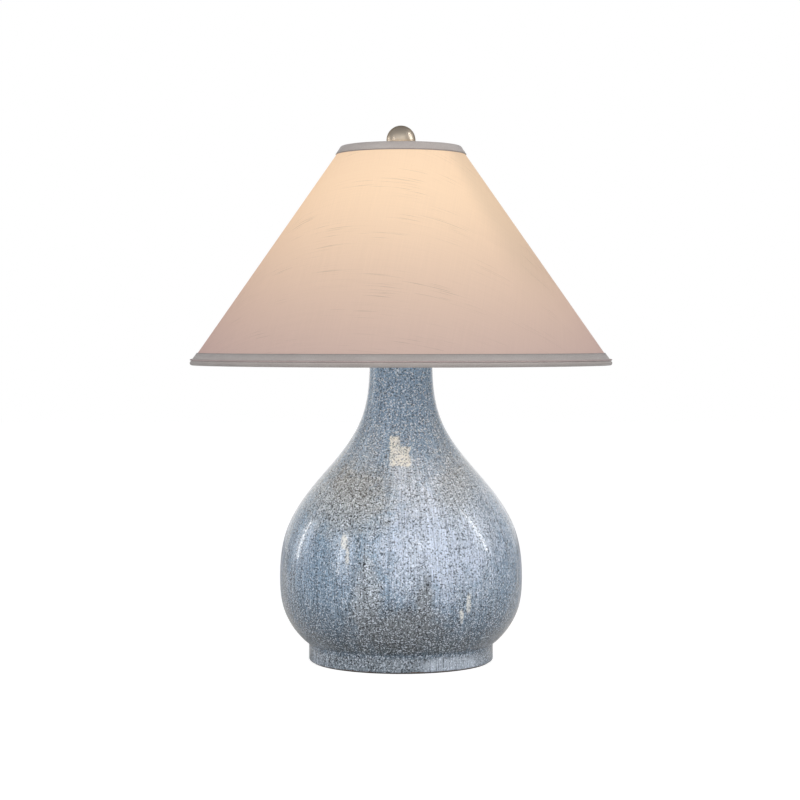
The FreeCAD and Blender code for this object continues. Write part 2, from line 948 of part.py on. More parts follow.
def make_bulb_housing():
    """Tapered plastic housing with a floor on the base and a ledge for the board under its rim."""
    rim = bulb_globe_radius
    low = housing_z + seat_gap
    floor = low + 2 * bulb_globe_wall
    middle = vec((bulb_neck_radius + rim) / 2 + bulb_housing_swell, 0, (low + globe_z) / 2)
    neck_inside = bulb_neck_radius - bulb_globe_wall
    board_seat = bulb_board_radius + seat_gap
    ledge = bulb_board_radius - bulb_board_ledge
    ledge_z = board_z - seat_gap
    points = [
        vec(rim, 0, globe_z),
        vec(board_seat, 0, globe_z),
        vec(board_seat, 0, ledge_z),
        vec(ledge, 0, ledge_z),
        vec(neck_inside, 0, floor),
        vec(0, 0, floor),
        vec(0, 0, low),
        vec(bulb_neck_radius, 0, low),
    ]
    outline = [line(a, b) for a, b in zip(points, points[1:])]
    outline.append(arc(vec(bulb_neck_radius, 0, low), middle, vec(rim, 0, globe_z)))
    return turned(outline)


def make_bulb_globe():
    """Frosted half globe on the housing's rim."""
    outer = bulb_globe_radius
    inner = outer - bulb_globe_wall
    turn = math.sqrt(0.5)
    low = globe_z + glue_gap
    outline = [
        arc(vec(outer, 0, low), vec(outer * turn, 0, low + outer * turn), vec(0, 0, low + outer)),
        line(vec(0, 0, low + outer), vec(0, 0, low + inner)),
        arc(vec(0, 0, low + inner), vec(inner * turn, 0, low + inner * turn), vec(inner, 0, low)),
        line(vec(inner, 0, low), vec(outer, 0, low)),
    ]
    return turned(outline)


def make_bulb_board():
    """Disc that carries the light source, inside the housing's rim."""
    return rod(bulb_board_radius, vec(0, 0, board_z), axis_z, bulb_board_thickness)


save("bulb_contact", make_bulb_contact())
save("bulb_insulator", make_bulb_insulator())
save("bulb_screw_base", make_bulb_base())
save("bulb_housing", make_bulb_housing())
save("bulb_board", make_bulb_board())
save("bulb_globe", make_bulb_globe())

# Shade. Places on it are a distance up the slant and a height off the cone.
wire_top_z = hub_z + spider_hub_thickness / 2 + spider_drop
slant = math.hypot(shade_bottom_radius - shade_top_radius, shade_height)
lean_in = (shade_bottom_radius - shade_top_radius) / slant
lean_up = shade_height / slant
wire_rise = shade_wire_inset * lean_in
cone_bottom_z = wire_top_z - shade_height + wire_rise
panel = shade_fabric + glue_gap + shade_liner_thickness
edge_clear = shade_wire_radius + seat_gap


def on_cone(up, off):
    """Radius and height of a place on the shade: up the slant from its lower wire, off the cone."""
    radius = shade_bottom_radius - up * lean_in + off * lean_up
    height = cone_bottom_z + up * lean_up + off * lean_in
    return radius, height


def cone_point(up, off):
    radius, height = on_cone(up, off)
    return vec(radius, 0, height)


def cone_band(start, end, inside, outside):
    return turned_points(
        [
            on_cone(start, inside),
            on_cone(start, outside),
            on_cone(end, outside),
            on_cone(end, inside),
        ]
    )


def wire_ring(up):
    radius, height = on_cone(up, -shade_wire_inset)
    return Part.makeTorus(radius, shade_wire_radius, vec(0, 0, height), axis_z)


def folded_trim(edge, inward, outer_height):
    """Fabric band outside the panel, round the wire at one edge and a little way up inside.

    edge is the wire's place up the slant; inward is 1 at the lower edge and -1 at the upper.
    """
    inner = shade_wire_radius + fold_gap
    outer = inner + trim_thickness
    centre = -shade_wire_inset
    band_end = edge + inward * (outer_height - outer)
    inside_end = edge + inward * trim_inside_height
    outside_off = fold_gap
    inside_off = -panel - fold_gap
    outline = [
        line(cone_point(band_end, outside_off), cone_point(band_end, outside_off + trim_thickness)),
        line(
            cone_point(band_end, outside_off + trim_thickness),
            cone_point(edge, centre + outer),
        ),
        arc(
            cone_point(edge, centre + outer),
            cone_point(edge - inward * outer, centre),
            cone_point(edge, centre - outer),
        ),
        line(
            cone_point(edge, centre - outer),
            cone_point(inside_end, inside_off - trim_thickness),
        ),
        line(
            cone_point(inside_end, inside_off - trim_thickness),
            cone_point(inside_end, inside_off),
        ),
        line(cone_point(inside_end, inside_off), cone_point(edge, centre - inner)),
        arc(
            cone_point(edge, centre - inner),
            cone_point(edge - inward * inner, centre),
            cone_point(edge, centre + inner),
        ),
        line(cone_point(edge, centre + inner), cone_point(band_end, outside_off)),
    ]
    return turned(outline)


def make_shade_seam():
    """Overlap of the fabric down the back of the shade."""
    start = bottom_trim_height
    end = slant - top_trim_height
    band = cone_band(start, end, fold_gap, fold_gap + shade_seam_thickness)
    radius = shade_bottom_radius + trim_thickness
    low = on_cone(start, 0)[1]
    high = on_cone(end, fold_gap + shade_seam_thickness)[1]
    strip = Part.makeBox(
        shade_seam_width, radius, high - low + 2, vec(-shade_seam_width / 2, 0, low - 1)
    )
    return band.common(strip)


def make_bottom_piping():
    """Narrow cord laid round the lower trim."""
    inner = shade_wire_radius + fold_gap
    share = piping_drop / (bottom_trim_height - inner - trim_thickness)
    foot_off = inner - shade_wire_inset
    face_off = foot_off + (fold_gap - foot_off) * share + trim_thickness
    radius, height = on_cone(piping_drop, face_off + piping_radius + glue_gap)
    return Part.makeTorus(radius, piping_radius, vec(0, 0, height), axis_z)


save(
    "shade_liner",
    cone_band(edge_clear, slant - edge_clear, -panel, -panel + shade_liner_thickness),
)
save("shade_cover", cone_band(edge_clear, slant - edge_clear, -shade_fabric, 0))
save("shade_seam", make_shade_seam())
save("shade_bottom_ring", wire_ring(0))
save("shade_top_ring", wire_ring(slant))
save("shade_bottom_trim", folded_trim(0, 1, bottom_trim_height))
save("shade_bottom_piping", make_bottom_piping())


def make_spider_hub():
    return tube(
        stud_radius + loose_gap, spider_hub_radius, hub_z, hub_z + spider_hub_thickness
    )


def spider_arm_wires(radius):
    """Wires from the upper ring, bent down and in, level again where they meet the hub."""
    ring_radius, ring_z = on_cone(slant, -shade_wire_inset)
    level = hub_z + spider_hub_thickness / 2
    flat_end = spider_hub_radius + spider_flat_length
    run_in = ring_radius - spider_flat_length - flat_end
    slope = math.atan2(ring_z - level, run_in)
    tangent = spider_bend_radius * math.tan(slope / 2)
    sag = spider_bend_radius * (1 / math.cos(slope / 2) - 1)
    high = vec(ring_radius - spider_flat_length, 0, ring_z)
    low = vec(flat_end, 0, level)
    down = vec(-math.cos(slope), 0, -math.sin(slope))
    across = vec(math.sin(slope / 2), 0, -math.cos(slope / 2))
    inward = vec(-1, 0, 0)
    start = vec(ring_radius, 0, ring_z)
    end = vec(spider_hub_radius / 2, 0, level)
    path = [
        line(start, high - inward * tangent),
        arc(high - inward * tangent, high + across * sag, high + down * tangent),
        line(high + down * tangent, low - down * tangent),
        arc(low - down * tangent, low - across * sag, low + inward * tangent),
        line(low + inward * tangent, end),
    ]
    arm = wire_along(path, radius, start, inward)
    return [around_z(arm, spider_arm_turn + 360 * i / spider_arms) for i in range(spider_arms)]


def make_spider_arms():
    """Each arm ends on the ring at one end and on the rim of the hub at the other."""
    depth = 2 * spider_hub_thickness
    hub = rod(spider_hub_radius, vec(0, 0, hub_z - depth), axis_z, spider_hub_thickness + 2 * depth)
    arms = []
    for arm in spider_arm_wires(spider_wire_radius):
        pieces = arm.cut(wire_ring(slant)).cut(hub).Solids
        arms.append(max(pieces, key=lambda piece: piece.Volume))
    return Part.makeCompound(arms)


def make_top_trim():
    """The upper trim is slit where the spider's arms pass through it."""
    trim = folded_trim(slant, -1, top_trim_height)
    outside = on_cone(slant, -shade_wire_inset)[0]
    inside = rod(outside, vec(0, 0, wire_top_z - top_trim_height), axis_z, 2 * top_trim_height)
    for arm in spider_arm_wires(spider_wire_radius + glue_gap):
        trim = trim.cut(arm.common(inside))
    return trim


save("shade_top_trim", make_top_trim())
save("spider_hub", make_spider_hub())
save("spider_arms", make_spider_arms())
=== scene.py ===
import json
import math

import bmesh
import bpy
from mathutils import Matrix, Vector


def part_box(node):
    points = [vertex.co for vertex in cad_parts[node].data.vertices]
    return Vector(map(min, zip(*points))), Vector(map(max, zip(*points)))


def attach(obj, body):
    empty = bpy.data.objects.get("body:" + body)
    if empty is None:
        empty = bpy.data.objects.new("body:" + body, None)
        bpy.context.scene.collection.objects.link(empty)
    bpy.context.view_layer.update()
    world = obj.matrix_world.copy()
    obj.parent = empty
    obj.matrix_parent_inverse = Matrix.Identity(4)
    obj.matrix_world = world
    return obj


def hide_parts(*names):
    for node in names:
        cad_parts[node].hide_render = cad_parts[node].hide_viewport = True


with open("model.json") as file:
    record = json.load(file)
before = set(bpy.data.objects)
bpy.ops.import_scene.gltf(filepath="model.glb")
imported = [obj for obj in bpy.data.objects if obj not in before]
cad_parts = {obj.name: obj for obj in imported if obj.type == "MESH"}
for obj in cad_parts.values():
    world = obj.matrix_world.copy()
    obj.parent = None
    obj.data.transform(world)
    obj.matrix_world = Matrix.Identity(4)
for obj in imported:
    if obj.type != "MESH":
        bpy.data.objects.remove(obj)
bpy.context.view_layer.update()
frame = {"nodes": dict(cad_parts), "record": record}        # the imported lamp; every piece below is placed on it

# Sizes are in metres. The lamp stands on z = 0 and its switch looks along -Y.


def shown(*levels):        # a colour as a screen shows it, 0 to 255, made linear
    shares = [level / 255 for level in levels]
    return tuple(s / 12.92 if s < 0.04 else ((s + 0.055) / 1.055) ** 2.4 for s in shares)


# Nodes: sockets that Python's operators work on, and one method that makes every node

class Wire:        # an output socket that takes part in sums
    def __init__(self, nodes, socket):
        self.nodes, self.socket = nodes, socket

    def __add__(self, other):
        return self.nodes.maths("ADD", self, other)

    def __sub__(self, other):
        return self.nodes.maths("SUBTRACT", self, other)

    def __rsub__(self, other):
        return self.nodes.maths("SUBTRACT", other, self)

    def __mul__(self, other):
        return self.nodes.maths("MULTIPLY", self, other)

    def __truediv__(self, other):
        return self.nodes.maths("DIVIDE", self, other)

    def __rtruediv__(self, other):
        return self.nodes.maths("DIVIDE", other, self)

    def __pow__(self, other):
        return self.nodes.maths("POWER", self, other)

    __radd__ = __add__
    __rmul__ = __mul__

    def between(self, low, high):        # 0 below low, 1 above high, soft in the middle
        values = {"Value": self, "From Min": low, "From Max": high}
        return self.nodes.node("MapRange", {"interpolation_type": "SMOOTHSTEP"}, values)


class Nodes:        # the nodes of one material, or of the world
    def __init__(self, tree):
        self.tree = tree

    def feed(self, socket, value):
        if isinstance(value, Wire):
            self.tree.links.new(value.socket, socket)
        elif socket.type == "RGBA" and len(value) == 3:
            socket.default_value = (*value, 1)
        else:
            socket.default_value = value

    def node(self, kind, settings=None, values=None, output=0):
        made = self.tree.nodes.new("ShaderNode" + kind)
        for name, value in (settings or {}).items():
            if name == "stops":
                self.setStops(made.color_ramp, value)
            else:
                setattr(made, name, value)
        for name, value in (values or {}).items():
            self.feed(made.inputs[name], value)
        return Wire(self, made.outputs[output])

    def setStops(self, ramp, stops):
        while len(ramp.elements) < len(stops):
            ramp.elements.new(1)
        for element, (position, colour) in zip(ramp.elements, stops):
            element.position, element.color = position, (*colour, 1)

    def maths(self, operation, *values, clamped=False):
        settings = {"operation": operation, "use_clamp": clamped}
        return self.node("Math", settings, dict(enumerate(values)))

    def larger(self, first, second):
        return self.maths("MAXIMUM", first, second)

    def vectors(self, operation, *values, output="Vector"):
        return self.node("VectorMath", {"operation": operation}, dict(enumerate(values)), output)

    def joined(self, x, y, z):
        return self.node("CombineXYZ", None, {"X": x, "Y": y, "Z": z})

    def apart(self, vector, axes="XYZ"):
        return [self.node("SeparateXYZ", None, {"Vector": vector}, axis) for axis in axes]

    def length(self, x, y, z):
        return self.vectors("LENGTH", self.joined(x, y, z), output="Value")

    def mix(self, factor, first, second, blend="MIX"):        # 6, 7 and 2 are its colour sockets
        settings = {"data_type": "RGBA", "blend_type": blend}
        return self.node("Mix", settings, {0: factor, 6: first, 7: second}, 2)

    def tinted(self, colour, light):
        return self.mix(1.0, colour, light, "MULTIPLY")

    def grain(self, vector, scale=1.0, detail=2.0, roughness=0.5):
        values = {"Vector": vector, "Scale": scale, "Detail": detail, "Roughness": roughness}
        return self.node("TexNoise", None, values)

    def ramp(self, factor, stops):
        return self.node("ValToRGB", {"stops": stops}, {"Fac": factor})


class Paint(Nodes):        # a material of one shader
    def __init__(self, name, fixed):
        self.material = bpy.data.materials.new(name)
        self.material.use_nodes = True
        super().__init__(self.material.node_tree)
        self.shader = self.tree.nodes["Principled BSDF"]
        self.show(fixed)

    def show(self, looks):        # values or wires for the shader's own sockets
        for name, value in looks.items():
            self.feed(self.shader.inputs[name], value)

    def place(self):
        return self.node("TexCoord", output="Object")

    def bump(self, height, distance, strength=1.0):
        values = {"Height": height, "Distance": distance, "Strength": strength}
        self.show({"Normal": self.node("Bump", None, values)})


class Cloth(Paint):        # a material whose yarns lie on the flat pattern that it is cut from
    def __init__(self, name, fixed):
        super().__init__(name, fixed)
        flat = self.node("UVMap", {"uv_map": "cloth"})
        self.sideways, self.upwards = self.apart(flat, "XY")

    def yarns(self, wide, tall, seed, detail=2.0, roughness=0.5):
        vector = self.joined(self.sideways * wide, self.upwards * tall, seed)
        return self.grain(vector, 1.0, detail, roughness)


# Glaze: salt and pepper on blue, with paler and greyer zones where it ran as it melted

glazeLook = {
    "blue": shown(113, 134, 153),
    "neckBlue": shown(106, 132, 161),        # bluer, since the lit shade warms the neck
    "pale": shown(177, 186, 202),
    "grey": shown(144, 149, 152),
    "salt": shown(227, 236, 249),
    "pepper": shown(20, 27, 34),
    "cream": shown(222, 221, 214),
    "olive": shown(84, 86, 70),
    "clay": (shown(96, 70, 52), shown(140, 112, 86)),
    "covers": {        # how far a colour covers what is under it
        "pale": 0.85, "grey": 0.85, "crease": 0.60, "foot": 0.45, "cream": 0.85, "drips": 0.50,
    },
    "saltScale": 560.0,
    "pepperScale": 500.0,
    "saltShows": (0.54, 0.63),        # the noise between which a speck begins and is full
    "pepperShows": (0.51, 0.61),
    "saltShare": (0.60, {"pale": 0.25, "grey": 0.25, "foot": 0.10, "neck": 0.04}),
    "pepperShare": (0.80, {"grey": 0.25, "foot": 0.20, "neck": -0.10}),
    "darkLess": (0.25, 0.35),        # what a dark zone takes from the lightness and the salt
    "fineRuns": (80.0, 16.0, 2.0),        # runs in a radian, in a metre of height, and a seed
    "creaseRuns": (8.0, 4.0, 30.0),
    "dripRuns": (34.0, 6.0, 21.0),
    "dripGroups": (1.6, 1.0, 40.0),
    "fineStrength": 2.2,        # how much fine runs, and clouds, change how light the glaze is
    "cloudStrength": 0.6,
    "cloudScale": 150.0,
    "raggedScale": 90.0,
    "raggedStrength": 2.2,
    "edgeScale": 70.0,
    "clayScale": 300.0,
    # Heights between which one look gives way to another
    "foot": (0.014, 0.022),
    "footDrips": (0.013, 0.019),
    "creaseStart": (0.019, 0.025),
    "creaseEnd": (0.024, 0.052),
    "neck": (0.22, 0.30),
    "neckTint": (0.16, 0.30),
    # partly the glaze's own tone and partly painted light and shade: painted shade in the crease above the foot
    # and low on the belly, painted light from the lit shade at the top of the neck
    "tone": [        # height up the body as a share of toneTop, and how light the glaze is there
        (0.0, 0.56), (0.05, 0.50), (0.08, 0.40), (0.13, 0.52), (0.19, 0.70), (0.25, 0.90),
        (0.35, 1.02), (0.48, 1.02), (0.58, 0.90), (0.68, 0.88), (0.80, 0.94), (0.86, 1.14),
        (0.90, 1.40),
    ],
    "toneTop": 0.4,
    "toneGain": 1.23,
    "zoneRuns": {        # runs, the noise between which they show, and the heights
        "grey": ((3.6, 9.0, 4.0), (0.47, 0.60), (0.02, 0.05)),
        "pale": ((2.6, 8.0, 9.0), (0.46, 0.60), (0.07, 0.13)),
    },
    "plannedFront": (0.2, 0.6),        # towards the front, only a share of those runs is left
    "plannedHeight": (0.03, 0.05),
    "plannedShare": 0.25,
    "patches": {        # x and z of the middle at the front, half the width and height, strength
        # the first, broad patch at the front of the belly is partly paler glaze and partly a painted reflection
        # of the lamps in front; the rest is paler glaze
        "pale": [
            (0.044, 0.158, 0.070, 0.072, 1.00), (0.004, 0.218, 0.016, 0.028, 0.80),
            (-0.064, 0.143, 0.014, 0.034, 0.40),
        ],
        "grey": [
            (-0.060, 0.194, 0.046, 0.036, 1.00), (-0.038, 0.082, 0.016, 0.052, 0.90),
            (0.026, 0.076, 0.010, 0.038, 0.90), (0.066, 0.208, 0.026, 0.030, 0.60),
            (-0.002, 0.052, 0.052, 0.024, 0.95),
        ],
        "dark": [
            (-0.044, 0.214, 0.036, 0.018, 0.60), (0.026, 0.078, 0.010, 0.034, 0.80),
            (-0.002, 0.056, 0.054, 0.024, 1.00), (0.000, 0.008, 0.052, 0.014, 0.80),
        ],
    },
    # painted reflection of the lit shade's inside, on the shoulder at the front: x and z of the middle, half the
    # width and height
    "creamPatches": [(-0.0012, 0.2440, 0.0118, 0.0104), (-0.0070, 0.2575, 0.0056, 0.0092)],
    # cream drips of glaze low on the right, and painted highlights on the left of the belly
    "creamDrips": [
        (0.076, 0.083, 0.0030, 0.012), (0.068, 0.068, 0.0022, 0.008),
        (-0.064, 0.152, 0.0034, 0.010), (-0.060, 0.136, 0.0024, 0.010),
    ],
    "footPatch": (0.058, 0.008, 0.036, 0.009),
    "edges": {        # how ragged and how soft they are
        "patches": (0.7, 0.5), "creamPatches": (0.45, 0.10), "creamDrips": (0.8, 0.3),
        "footPatch": (0.3, 0.4),
    },
    "glazeEnd": (0.0008, 0.0028),        # the lowest and highest place of the glaze's edge
    "recessTop": (0.0200, 0.0205),
    "recessRadius": (0.0990, 0.0995),
}


class Glaze(Paint):        # the places and patterns that the body's looks are made from
    def __init__(self, look):
        super().__init__("glaze", {"IOR": 1.5, "Coat Roughness": 0.06})
        self.at = self.place()
        self.x, y, self.z = self.apart(self.at)
        self.reach = self.length(self.x, y, 0.0)
        self.toRight, self.toBack = self.x / self.reach, y / self.reach
        self.front = self.maths("LESS_THAN", y, 0.0)
        self.onNeck = self.z.between(*look["neck"])
        self.onFoot = 1 - self.z.between(*look["foot"])
        ragged = self.grain(self.at, look["raggedScale"], 4.0, 0.6)
        self.ragged = (ragged - 0.5) * look["raggedStrength"]
        self.fine = self.runs(*look["fineRuns"])
        moved = self.vectors("ADD", self.at, (3.0, 1.0, 2.0))
        self.salt = self.grain(moved, look["saltScale"], 2.0, 0.6)
        self.pepper = self.grain(self.at, look["pepperScale"], 2.0, 0.6)

    def runs(self, across, tall, seed):        # noise drawn out down the body, alike all round
        vector = self.joined(self.toRight * across + seed, self.toBack * across, self.z * tall)
        return self.grain(vector, 1.0, 3.0, 0.6)

    def patch(self, spot, rough, edge, boxy=False):        # a ragged zone at the front
        middle, height, wide, tall = spot
        aside, up = (self.x - middle) / wide, (self.z - height) / tall
        if boxy:
            distance = self.larger(self.maths("ABSOLUTE", aside), self.maths("ABSOLUTE", up))
        else:
            distance = self.length(aside, 0.0, up)
        return (1 - (distance + self.ragged * rough).between(1 - edge, 1 + edge)) * self.front


def glazeZones(glaze, look):        # how grey, pale or dark each place is
    z = glaze.z
    share = look["plannedShare"]
    planned = (0 - glaze.toBack).between(*look["plannedFront"])
    planned = planned * z.between(*look["plannedHeight"])
    left = (1 - planned) * (1 - share) + share
    zones = {"dark": 0.0, "neck": glaze.onNeck, "foot": glaze.onFoot}
    for name, (runs, shows, heights) in look["zoneRuns"].items():
        zone = glaze.runs(*runs).between(*shows) * z.between(*heights)
        zones[name] = zone * (1 - glaze.onNeck) * left
    for name, patches in look["patches"].items():
        for *spot, strength in patches:
            patch = glaze.patch(spot, *look["edges"]["patches"])
            zones[name] = glaze.larger(zones[name], patch * strength)
    zones["pale"] = zones["pale"] * (1 - zones["grey"] * 0.6)
    return zones


def meltedColour(glaze, look, zones):        # the colour under the speckle
    z, covers = glaze.z, look["covers"]
    colour = glaze.mix(z.between(*look["neckTint"]), look["blue"], look["neckBlue"])
    for name in ("pale", "grey"):
        colour = glaze.mix(zones[name] * covers[name], colour, look[name])
    crease = (1 - z.between(*look["creaseEnd"])) * z.between(*look["creaseStart"])
    crease = crease * glaze.runs(*look["creaseRuns"]).between(0.25, 0.6)
    colour = glaze.mix(crease * covers["crease"], colour, look["olive"])
    # painted light and shade by height, on top of the glaze's own tone: darker in the crease and low on the
    # belly, lighter at the top of the neck
    tone = [(height, (light,) * 3) for height, light in look["tone"]]
    colour = glaze.tinted(colour, glaze.ramp(z * (1 / look["toneTop"]), tone))
    fine = (glaze.fine - 0.5) * look["fineStrength"]
    cloud = (glaze.grain(glaze.at, look["cloudScale"], 3.0, 0.6) - 0.5) * look["cloudStrength"]
    light = (fine + cloud + 1.0) * look["toneGain"] * (1 - zones["dark"] * look["darkLess"][0])
    return glaze.mix(glaze.onFoot * covers["foot"], glaze.tinted(colour, light), look["grey"])


def speckled(glaze, look, zones, colour):
    def shareOf(speckle):
        everywhere, added = look[speckle]
        return sum((zones[name] * more for name, more in added.items()), everywhere)

    dark = glaze.pepper.between(*look["pepperShows"]) * shareOf("pepperShare")
    bright = glaze.salt.between(*look["saltShows"]) * shareOf("saltShare")
    colour = glaze.mix(dark, colour, look["pepper"])
    return glaze.mix(bright * (1 - zones["dark"] * look["darkLess"][1]), colour, look["salt"])


def dripped(glaze, look, colour):        # painted reflection of the lit shade on the shoulder, cream drips low on the right, painted highlights on the left of the belly, and pale runs on the foot
    edges, covers = look["edges"], look["covers"]
    # the painted reflection and painted highlights, with the cream drips, broken by the pepper specks
    cream = 0.0
    for kind, boxy in (("creamPatches", True), ("creamDrips", False)):
        for spot in look[kind]:
            cream = glaze.larger(cream, glaze.patch(spot, *edges[kind], boxy))
    broken = 1 - glaze.pepper.between(0.44, 0.56) * 0.75
    colour = glaze.mix(cream * broken * covers["cream"], colour, look["cream"])
    drips = glaze.runs(*look["dripRuns"]).between(0.42, 0.60)
    drips = drips * (1 - glaze.z.between(*look["footDrips"]))
    drips = drips * glaze.runs(*look["dripGroups"]).between(0.48, 0.56) * 0.7
    drips = glaze.larger(drips, glaze.patch(look["footPatch"], *edges["footPatch"]) * 0.9)
    drips = drips * glaze.fine.between(0.3, 0.6) * covers["drips"]
    return glaze.mix(drips, colour, look["salt"])


def makeGlaze(look):
    glaze = Glaze(look)
    zones = glazeZones(glaze, look)
    colour = speckled(glaze, look, zones, meltedColour(glaze, look, zones))
    colour = dripped(glaze, look, colour)
    lowest, highest = look["glazeEnd"]
    edge = glaze.grain(glaze.at, look["edgeScale"], 3.0) * (highest - lowest) + lowest
    inRecess = 1 - glaze.z.between(*look["recessTop"])
    inRecess = inRecess * (1 - glaze.reach.between(*look["recessRadius"]))
    bare = glaze.larger(glaze.maths("LESS_THAN", glaze.z, edge), inRecess)
    clay = glaze.mix(glaze.grain(glaze.at, look["clayScale"], 4.0, 0.7), *look["clay"])
    glaze.show({
        "Base Color": glaze.mix(bare, colour, clay),
        "Roughness": bare * 0.6 + 0.12 + glaze.salt * 0.12,
        "Coat Weight": (1 - bare) * (glaze.salt.between(0.40, 0.58) * 0.5 + 0.1),
    })
    glaze.bump(glaze.salt + glaze.pepper * 0.6 + glaze.fine * 0.8, 0.0004, 0.5)
    return glaze.material


# Shade: the lamp's own light through it, slub yarns and a fine weave

bulbGlow = {
    "height": 0.505,
    "evenDistance": 0.2244,        # the distance from the bulb at which the glow is as in "glow"
}
clothLook = {
    "plain": shown(164, 153, 134),
    "glow": (0.309, 0.184, 0.166),
    "glowGain": (0.464, 0.340, 0.150),        # added as the logarithm of nearness grows by one
    # painted shade on the glow at the right side of the shade, high up
    "shadedSide": 0.20,        # how much of the glow is lost at the right, high up
    "shadedSideHeight": (0.40, 0.48),
    "slubs": (16.0, 900.0, 0.0),        # yarns in a metre sideways and upwards, and a seed
    "slubPatches": (9.0, 30.0, 3.0),
    "warp": (700.0, 12.0, 7.0),
    "weft": (10.0, 800.0, 11.0),
    "slubDepth": 0.24,
    "yarnDepth": 0.05,
    "yarnsPerMetre": 2100.0,
}


def bulbLight(paint, look):        # the bulb's glow, warmer and brighter the nearer it is
    bulb = (0.0, 0.0, bulbGlow["height"])
    distance = paint.vectors("DISTANCE", paint.place(), bulb, output="Value")
    nearness = paint.maths("LOGARITHM", bulbGlow["evenDistance"] / distance, math.e)
    parts = [low + nearness * gain for low, gain in zip(look["glow"], look["glowGain"])]
    return paint.node("CombineColor", None, dict(enumerate(parts)))


def makeCloth(look):
    cloth = Cloth("shadeCloth", {"Roughness": 0.9, "Specular IOR Level": 0.1})
    slub = cloth.yarns(*look["slubs"], roughness=0.6).between(0.58, 0.72)
    patches = cloth.yarns(*look["slubPatches"]).between(0.45, 0.65)
    plain = cloth.yarns(*look["warp"]) + cloth.yarns(*look["weft"])
    light = 1.05 - slub * patches * look["slubDepth"] - plain * look["yarnDepth"]
    x, y, z = cloth.apart(cloth.place())
    reach = cloth.length(x, y, 0.0)
    # painted shade: less glow in a band at the right, high up
    toRight = (x / reach).between(0.62, 0.86) * (0 - y / reach).between(-0.3, 0.1)
    rightShade = toRight * z.between(*look["shadedSideHeight"]) * look["shadedSide"]
    cloth.show({
        "Base Color": cloth.tinted(look["plain"], light),
        "Emission Color": cloth.tinted(bulbLight(cloth, look), light ** 1.5 - rightShade),
        "Emission Strength": 1.0,
    })
    turn = math.tau * look["yarnsPerMetre"]
    weave = cloth.maths("SINE", cloth.sideways * turn) * cloth.maths("SINE", cloth.upwards * turn)
    cloth.bump(weave * 0.5 + slub * 2.0, 0.00006, 0.6)
    return cloth.material


liningLook = {
    "styrene": (shown(240, 236, 226), shown(226, 220, 206)),
    "glow": (0.34, 0.25, 0.15),
    "glowGain": (0.26, 0.21, 0.14),
    "mottleScale": 260.0,
}


def makeLining(look):
    paint = Paint("shadeLining", {"Emission Strength": 1.0})
    mottle = paint.grain(paint.place(), look["mottleScale"], 3.0, 0.6)
    paint.show({
        "Base Color": paint.mix(mottle * 0.3, *look["styrene"]),
        "Roughness": mottle * 0.2 + 0.4,
        "Emission Color": paint.tinted(bulbLight(paint, look), mottle * 0.1 + 0.95),
    })
    paint.bump(mottle, 0.00004, 0.5)
    return paint.material


tapeYarns = {"fine": (1500.0, 300.0, 0.0), "drift": (30.0, 60.0, 5.0)}
tapeLook = {
    "tape": shown(190, 183, 178),
    "shade": shown(164, 154, 149),
    "ribs": 1500.0,        # in a metre
    # painted shadow line along the tape's outer edge, and painted shade on the turned-under lip below
    "edge": (0.0004, 0.0013, 0.62),        # the width where it is dark, where it ends, how light
    "shadedTurnUnder": (0.0118, 0.0142, 0.70),
}
pipingLook = {
    "tape": shown(190, 172, 168),
    "shade": shown(156, 138, 135),
    "ribs": 900.0,
    # painted shadow at the cord's top and bottom, lighter at its outermost
    "edge": (0.0011, 0.0017, 0.50),
}


def makeTapeCloth(name, look):        # woven tape: ribs across it
    tape = Cloth(name, {"Roughness": 0.88, "Sheen Weight": 0.15})
    rib = tape.maths("SINE", tape.sideways * (math.tau * look["ribs"])) * 0.5 + 0.5
    fine = tape.yarns(*tapeYarns["fine"], 3.0, 0.6)
    tone = rib * 0.25 + fine * 0.5 + tape.yarns(*tapeYarns["drift"], 3.0) * 0.35
    # painted shadow along the outer edge, and painted shade on the turned-under lip
    start, end, least = look["edge"]
    light = tape.upwards.between(start, end) * (1 - least) + least
    if "shadedTurnUnder" in look:
        start, end, least = look["shadedTurnUnder"]
        light = light * (1 - tape.upwards.between(start, end) * (1 - least))
    colour = tape.mix(tone.between(0.3, 0.8), look["shade"], look["tape"])
    tape.show({"Base Color": tape.tinted(colour, light)})
    tape.bump(rib * 0.6 + fine, 0.00008, 0.6)
    return tape.material


# Metal, plastic and the small parts

metalLook = {        # each metal's bright and dull colour, and its roughness
    "nickel": (shown(224, 211, 193), shown(186, 173, 157), 0.40),
    "brass": (shown(214, 178, 108), shown(150, 116, 60), 0.28),
    "zinc": (shown(190, 190, 186), shown(140, 140, 136), 0.38),
    "alloy": (shown(206, 206, 204), shown(160, 160, 158), 0.30),
    "edgeTint": shown(64, 62, 60),
    "turningLines": 2600.0,
    "lineWander": 60.0,
    "cloudScale": 45.0,
}


def makeMetal(name, look, kind, pitch=None):        # turned, with fine lines round the lamp's axis
    bright, dull, roughness = look[kind]
    paint = Paint(name, {"Metallic": 1.0, "Specular Tint": look["edgeTint"]})
    place = paint.place()
    x, y, z = paint.apart(place)
    wander = look["lineWander"]
    lines = paint.grain(paint.joined(x * wander, y * wander, z * look["turningLines"]))
    cloud = paint.grain(place, look["cloudScale"], 4.0, 0.6)
    paint.show({
        "Base Color": paint.mix(cloud.between(0.35, 0.75) * 0.5 + lines * 0.25, bright, dull),
        "Roughness": lines * 0.16 + cloud * 0.10 + roughness - 0.12,
    })
    if pitch:
        paint.bump(paint.maths("SINE", z * (math.tau / pitch)) + lines * 0.1, pitch * 0.2)
    else:
        paint.bump(lines, 0.00002, 0.5)
    return paint.material


